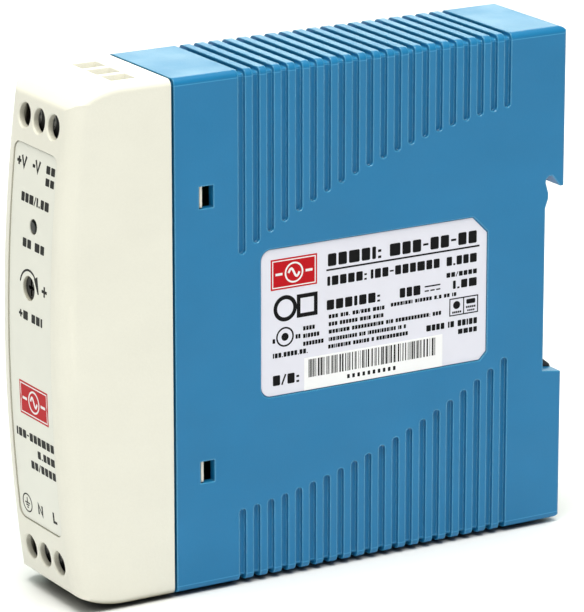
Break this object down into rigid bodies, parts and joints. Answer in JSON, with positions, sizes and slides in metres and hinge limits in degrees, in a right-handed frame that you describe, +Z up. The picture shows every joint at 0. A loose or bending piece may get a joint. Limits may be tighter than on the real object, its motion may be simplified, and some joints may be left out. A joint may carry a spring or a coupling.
{
  "type": "din rail power supply",
  "caption": "Slim DIN rail power supply: grooved blue housing, bowed cream front cover with screw terminals above and below, sprung rail latch behind.",
  "frame": {"origin": "centre of the bounding box at its bottom, the underside that the casing stands on", "axes": "+Z up, +X across the slim width towards the rating label, +Y from the terminal face towards the rail side"},
  "size_m": [0.0226, 0.1, 0.09],
  "materials": {
    "housing_blue": "fine-textured moulded ABS/PC",
    "cover_cream": "smooth satin moulded plastic",
    "label_film": "printed polyester film",
    "front_film": "printed polyester film in the tone of the cover",
    "sticker_paper": "printed paper sticker",
    "latch_plastic": "glass-filled nylon",
    "spring_steel": "bright drawn wire",
    "circuit_board": "solder-masked glass-epoxy board",
    "insulation_film": "milky polyester sheet",
    "header_plastic": "black nylon",
    "led_lens": "smoked green epoxy",
    "trimmer_blue": "moulded case",
    "trimmer_grey": "moulded rotor with its long shaft",
    "fuse_body": "moulded thermoplastic",
    "thermistor_coat": "lacquered ceramic",
    "varistor_coat": "dipped epoxy",
    "film_cap_yellow": "moulded box",
    "ferrite": "ground ferrite",
    "enamelled_wire": "enamelled copper wire",
    "chip_black": "moulded epoxy",
    "capacitor_sleeve": "shrink sleeve on an aluminium can",
    "bobbin_plastic": "phenolic moulding",
    "winding_tape": "polyester tape",
    "safety_cap_blue": "dipped epoxy",
    "resistor_coat": "flameproof lacquer",
    "heatsink_aluminium": "bent sheet",
    "screw_steel": "zinc-plated steel",
    "terminal_plastic": "self-extinguishing nylon",
    "contact_copper": "tinned copper alloy",
    "cage_brass": "nickel-plated brass"
  },
  "bodies": {
    "power_supply": {"bridge_rectifier": "chip_black", "bulk_capacitor": "capacitor_sleeve", "choke_core": "ferrite", "choke_winding": "enamelled_wire", "controller_chip": "chip_black", "film_capacitor": "film_cap_yellow", "filter_capacitor": "capacitor_sleeve", "front_board": "circuit_board", "front_cover": "cover_cream", "front_label": "front_film", "fuse": "fuse_body", "inductor_core": "ferrite", "inductor_winding": "enamelled_wire", "input_board_link": "header_plastic", "input_contacts": "contact_copper", "input_terminal_block": "terminal_plastic", "inrush_thermistor": "thermistor_coat", "insulation_sheet": "insulation_film", "led_spacer": "header_plastic", "main_board": "circuit_board", "optocoupler": "chip_black", "output_board_link": "header_plastic", "output_capacitor_1": "capacitor_sleeve", "output_capacitor_2": "capacitor_sleeve", "output_contacts": "contact_copper", "output_heatsink": "heatsink_aluminium", "output_heatsink_screw": "screw_steel", "output_power_device": "chip_black", "output_terminal_block": "terminal_plastic", "primary_heatsink": "heatsink_aluminium", "primary_heatsink_screw": "screw_steel", "primary_power_device": "chip_black", "rail_latch_spring": "spring_steel", "rating_label": "label_film", "rear_housing": "housing_blue", "serial_label": "sticker_paper", "snubber_capacitor": "safety_cap_blue", "snubber_resistor": "resistor_coat", "status_led": "led_lens", "transformer_bobbin": "bobbin_plastic", "transformer_core": "ferrite", "transformer_winding": "winding_tape", "trimmer_body": "trimmer_blue", "varistor": "varistor_coat", "y_capacitor": "safety_cap_blue"},
    "rail_latch": {"rail_latch": "latch_plastic"},
    "trimmer_rotor": {"trimmer_rotor": "trimmer_grey"},
    "output_screw_1": {"output_screw_1": "screw_steel"},
    "output_cage_1": {"output_cage_1": "cage_brass"},
    "output_screw_2": {"output_screw_2": "screw_steel"},
    "output_cage_2": {"output_cage_2": "cage_brass"},
    "output_screw_3": {"output_screw_3": "screw_steel"},
    "output_cage_3": {"output_cage_3": "cage_brass"},
    "input_screw_1": {"input_screw_1": "screw_steel"},
    "input_cage_1": {"input_cage_1": "cage_brass"},
    "input_screw_2": {"input_screw_2": "screw_steel"},
    "input_cage_2": {"input_cage_2": "cage_brass"},
    "input_screw_3": {"input_screw_3": "screw_steel"},
    "input_cage_3": {"input_cage_3": "cage_brass"}
  },
  "joints": [
    {"name": "rail_latch_slide", "type": "slide", "parent": "power_supply", "child": "rail_latch", "axis": [0, 0, -1], "range_m": [0, 0.004], "stiffness_N_per_m": 600, "springref_m": -0.004, "deforming": ["rail_latch_spring"]},
    {"name": "trimmer_turn", "type": "hinge", "parent": "power_supply", "child": "trimmer_rotor", "pos_m": [-0.0005, -0.0345, 0.0544], "axis": [0, 1, 0], "range_deg": [-130, 130]},
    {"name": "output_screw_1_turn", "type": "hinge", "parent": "power_supply", "child": "output_screw_1", "pos_m": [-0.00508, -0.0434, 0.083], "axis": [0, 1, 0], "range_deg": [0, 2521]},
    {"name": "output_cage_1_rise", "type": "slide", "parent": "power_supply", "child": "output_cage_1", "axis": [0, -1, 0], "range_m": [0, 0.0035]},
    {"name": "output_screw_2_turn", "type": "hinge", "parent": "power_supply", "child": "output_screw_2", "pos_m": [0, -0.0434, 0.083], "axis": [0, 1, 0], "range_deg": [0, 2521]},
    {"name": "output_cage_2_rise", "type": "slide", "parent": "power_supply", "child": "output_cage_2", "axis": [0, -1, 0], "range_m": [0, 0.0035]},
    {"name": "output_screw_3_turn", "type": "hinge", "parent": "power_supply", "child": "output_screw_3", "pos_m": [0.00508, -0.0434, 0.083], "axis": [0, 1, 0], "range_deg": [0, 2521]},
    {"name": "output_cage_3_rise", "type": "slide", "parent": "power_supply", "child": "output_cage_3", "axis": [0, -1, 0], "range_m": [0, 0.0035]},
    {"name": "input_screw_1_turn", "type": "hinge", "parent": "power_supply", "child": "input_screw_1", "pos_m": [-0.00508, -0.0434, 0.00716], "axis": [0, 1, 0], "range_deg": [0, 2521]},
    {"name": "input_cage_1_rise", "type": "slide", "parent": "power_supply", "child": "input_cage_1", "axis": [0, -1, 0], "range_m": [0, 0.0035]},
    {"name": "input_screw_2_turn", "type": "hinge", "parent": "power_supply", "child": "input_screw_2", "pos_m": [0, -0.0434, 0.00716], "axis": [0, 1, 0], "range_deg": [0, 2521]},
    {"name": "input_cage_2_rise", "type": "slide", "parent": "power_supply", "child": "input_cage_2", "axis": [0, -1, 0], "range_m": [0, 0.0035]},
    {"name": "input_screw_3_turn", "type": "hinge", "parent": "power_supply", "child": "input_screw_3", "pos_m": [0.00508, -0.0434, 0.00716], "axis": [0, 1, 0], "range_deg": [0, 2521]},
    {"name": "input_cage_3_rise", "type": "slide", "parent": "power_supply", "child": "input_cage_3", "axis": [0, -1, 0], "range_m": [0, 0.0035]}
  ],
  "couplings": [
    {"joint": "output_screw_1_turn", "follows": "output_cage_1_rise", "rad_per_m": 12566},
    {"joint": "output_screw_2_turn", "follows": "output_cage_2_rise", "rad_per_m": 12566},
    {"joint": "output_screw_3_turn", "follows": "output_cage_3_rise", "rad_per_m": 12566},
    {"joint": "input_screw_1_turn", "follows": "input_cage_1_rise", "rad_per_m": 12566},
    {"joint": "input_screw_2_turn", "follows": "input_cage_2_rise", "rad_per_m": 12566},
    {"joint": "input_screw_3_turn", "follows": "input_cage_3_rise", "rad_per_m": 12566}
  ]
}
